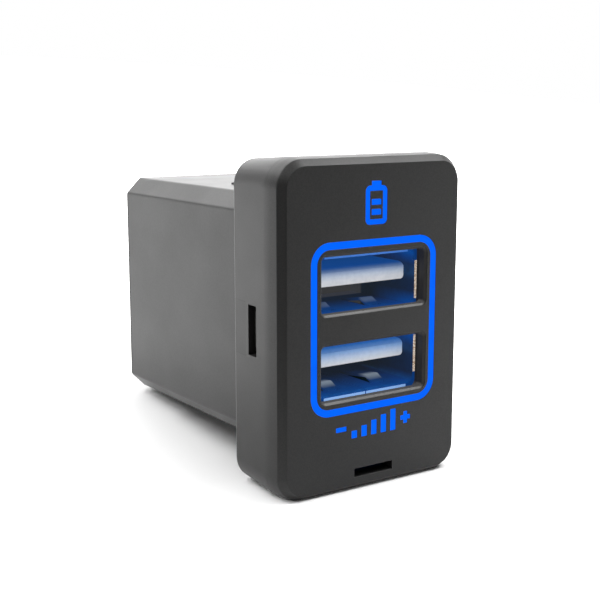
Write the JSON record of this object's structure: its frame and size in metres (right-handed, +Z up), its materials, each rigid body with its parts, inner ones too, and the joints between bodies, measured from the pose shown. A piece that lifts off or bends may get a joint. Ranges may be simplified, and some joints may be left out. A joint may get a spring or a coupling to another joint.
{
  "type": "car usb charger",
  "caption": "Dashboard USB-A charger: a bezel with stacked ports and a lit ring on a chamfered body that snaps into a spare switch place, with a rear power inlet.",
  "frame": {"origin": "middle of the collar's rear rim, which seats on the dashboard panel", "axes": "+Y into the dashboard, +Z up, +X to the right as the face is seen"},
  "size_m": [0.023, 0.036, 0.0342],
  "materials": {
    "bezel_plastic": "fine grained black ABS",
    "housing_plastic": "grained black ABS",
    "light_guide": "translucent polycarbonate, lit blue",
    "circuit_board": "green solder mask on glass epoxy",
    "plated_steel": "nickel plated sheet",
    "white_insulator": "white moulded insulator",
    "gold_contact": "gold plated",
    "lamp_package": "clear epoxy on a white base",
    "inlet_plastic": "natural nylon",
    "tinned_brass": "tin plated",
    "ferrite": "moulded ferrite",
    "can_aluminium": "bare can",
    "chip_resin": "moulded epoxy",
    "fuse_ceramic": "ceramic with tinned ends"
  },
  "bodies": {
    "root": {"front_bezel": "bezel_plastic", "rear_housing": "housing_plastic", "ring_light": "light_guide", "symbol_lens": "light_guide", "marks_lens": "light_guide", "lamp_board": "circuit_board", "main_board": "circuit_board", "usb_shell": "plated_steel", "usb_divider": "plated_steel", "usb_insulator": "white_insulator", "power_inlet": "inlet_plastic", "inlet_pin_negative": "tinned_brass", "inlet_pin_positive": "tinned_brass", "inductor": "ferrite", "input_capacitor": "can_aluminium", "output_capacitor_1": "can_aluminium", "output_capacitor_2": "can_aluminium", "controller_chip_1": "chip_resin", "controller_chip_2": "chip_resin", "rectifier": "chip_resin", "fuse": "fuse_ceramic", "contact_lower_1": "gold_contact", "contact_lower_2": "gold_contact", "contact_lower_3": "gold_contact", "contact_lower_4": "gold_contact", "contact_upper_1": "gold_contact", "contact_upper_2": "gold_contact", "contact_upper_3": "gold_contact", "contact_upper_4": "gold_contact", "lamp_1": "lamp_package", "lamp_2": "lamp_package", "lamp_3": "lamp_package", "lamp_4": "lamp_package", "lamp_5": "lamp_package", "lamp_6": "lamp_package", "lamp_7": "lamp_package", "lamp_8": "lamp_package"}
  },
  "joints": []
}
